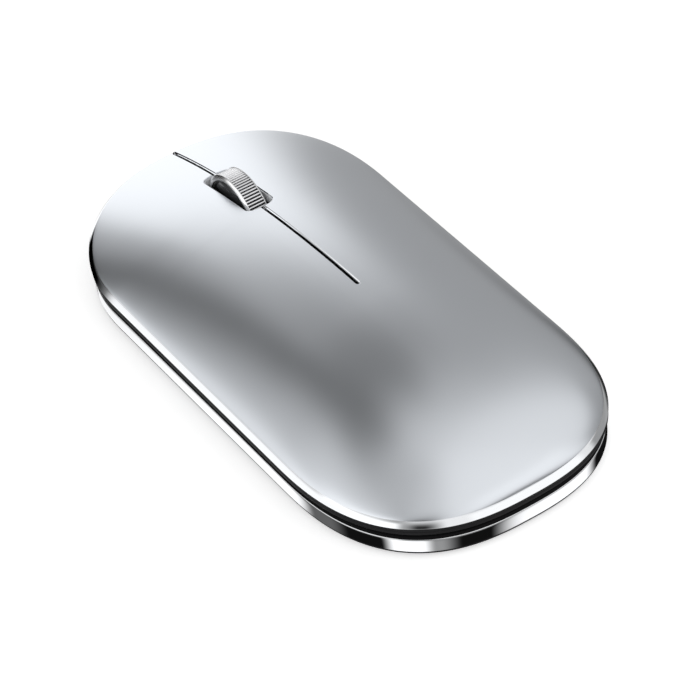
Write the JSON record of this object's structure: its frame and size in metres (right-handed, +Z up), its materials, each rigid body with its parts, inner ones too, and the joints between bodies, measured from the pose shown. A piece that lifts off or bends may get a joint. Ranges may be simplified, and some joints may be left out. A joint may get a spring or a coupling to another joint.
{
  "type": "computer mouse",
  "caption": "Slim cordless computer mouse with a domed satin top, slit keys, ribbed scroll wheel, black waist and bright base ring.",
  "frame": {"origin": "centre of the footprint, on the plane that the glide feet rest on", "axes": "+Y towards the front with the scroll wheel, +X towards the user's right, +Z up"},
  "size_m": [0.057, 0.1118, 0.0208],
  "materials": {
    "satin_silver": "satin",
    "black_trim": "fine matt",
    "chrome_ring": "mirror polished",
    "base_black": "fine texture",
    "glide_foot": "smooth low friction",
    "board_green": "solder mask",
    "switch_black": "moulded",
    "plunger_red": "moulded",
    "wheel_metal": "fine ribbed, bright",
    "wheel_bright": "polished",
    "hub_black": "semi-gloss",
    "steel": "plain",
    "lens_clear": "clear moulded",
    "chip_black": "moulded",
    "can_metal": "drawn",
    "component": "fired",
    "battery_foil": "foil",
    "tape": "foam tape",
    "wire_red": "insulation",
    "connector_white": "moulded",
    "knob_grey": "moulded"
  },
  "bodies": {
    "base": {"palm_cover": "satin_silver", "palm_trim": "black_trim", "mid_frame": "base_black", "base_ring": "chrome_ring", "bottom_plate": "base_black", "front_foot": "glide_foot", "rear_foot": "glide_foot", "main_pcb": "board_green", "pcb_screws": "steel", "case_screws": "steel", "left_switch": "switch_black", "right_switch": "switch_black", "middle_switch": "can_metal", "cradle_pin": "steel", "cradle_bracket": "base_black", "sensor_chip": "chip_black", "sensor_lens": "lens_clear", "controller_chip": "chip_black", "crystal": "can_metal", "small_components": "component", "usb_c_port": "can_metal", "battery": "battery_foil", "battery_tape": "tape", "battery_lead": "wire_red", "battery_connector": "connector_white", "power_switch": "can_metal", "mode_switch": "can_metal"},
    "left_key": {"left_button": "satin_silver", "left_trim": "black_trim", "left_press_rib": "switch_black"},
    "right_key": {"right_button": "satin_silver", "right_trim": "black_trim", "right_press_rib": "switch_black"},
    "left_switch_plunger": {"left_plunger": "plunger_red"},
    "right_switch_plunger": {"right_plunger": "plunger_red"},
    "cradle": {"wheel_cradle": "switch_black", "scroll_encoder": "switch_black", "detent_spring": "steel"},
    "wheel": {"wheel_band": "wheel_metal", "wheel_rims": "wheel_bright", "wheel_hub": "hub_black", "wheel_axle": "steel"},
    "middle_switch_plunger": {"middle_plunger": "switch_black"},
    "power_slider": {"power_knob": "knob_grey"},
    "mode_key": {"mode_button": "knob_grey"},
    "receiver": {"receiver_body": "base_black", "receiver_plug": "can_metal"}
  },
  "joints": [
    {"name": "left_key_press", "type": "hinge", "parent": "base", "child": "left_key", "pos_m": [0, -0.0078, 0.0053], "axis": [-1, 0, 0], "range_deg": [0, 0.45], "stiffness_Nm_per_rad": 4, "springref_deg": -0.23},
    {"name": "left_plunger_press", "type": "slide", "parent": "base", "child": "left_switch_plunger", "axis": [0, 0, -1], "range_m": [0, 0.00035]},
    {"name": "right_key_press", "type": "hinge", "parent": "base", "child": "right_key", "pos_m": [0, -0.0078, 0.0053], "axis": [-1, 0, 0], "range_deg": [0, 0.45], "stiffness_Nm_per_rad": 4, "springref_deg": -0.23},
    {"name": "right_plunger_press", "type": "slide", "parent": "base", "child": "right_switch_plunger", "axis": [0, 0, -1], "range_m": [0, 0.00035]},
    {"name": "wheel_press", "type": "hinge", "parent": "base", "child": "cradle", "pos_m": [0, 0.0165, 0.008], "axis": [-1, 0, 0], "range_deg": [0, 1.5], "stiffness_Nm_per_rad": 0.8, "springref_deg": -0.57},
    {"name": "wheel_spin", "type": "hinge", "parent": "cradle", "child": "wheel", "pos_m": [0, 0.031, 0.0121], "axis": [1, 0, 0], "continuous": true},
    {"name": "middle_plunger_press", "type": "slide", "parent": "base", "child": "middle_switch_plunger", "axis": [0, 0, -1], "range_m": [0, 0.00027]},
    {"name": "power_slide", "type": "slide", "parent": "base", "child": "power_slider", "axis": [1, 0, 0], "range_m": [0, 0.002]},
    {"name": "mode_press", "type": "slide", "parent": "base", "child": "mode_key", "axis": [0, 0, 1], "range_m": [0, 0.00025], "stiffness_N_per_m": 1200, "springref_m": -0.0003},
    {"name": "receiver_pull", "type": "slide", "parent": "base", "child": "receiver", "axis": [0, 0, -1], "range_m": [0, 0.012]}
  ],
  "couplings": [
    {"joint": "left_plunger_press", "follows": "left_key_press", "m_per_rad": 0.0408},
    {"joint": "right_plunger_press", "follows": "right_key_press", "m_per_rad": 0.0408},
    {"joint": "middle_plunger_press", "follows": "wheel_press", "m_per_rad": 0.0095}
  ]
}
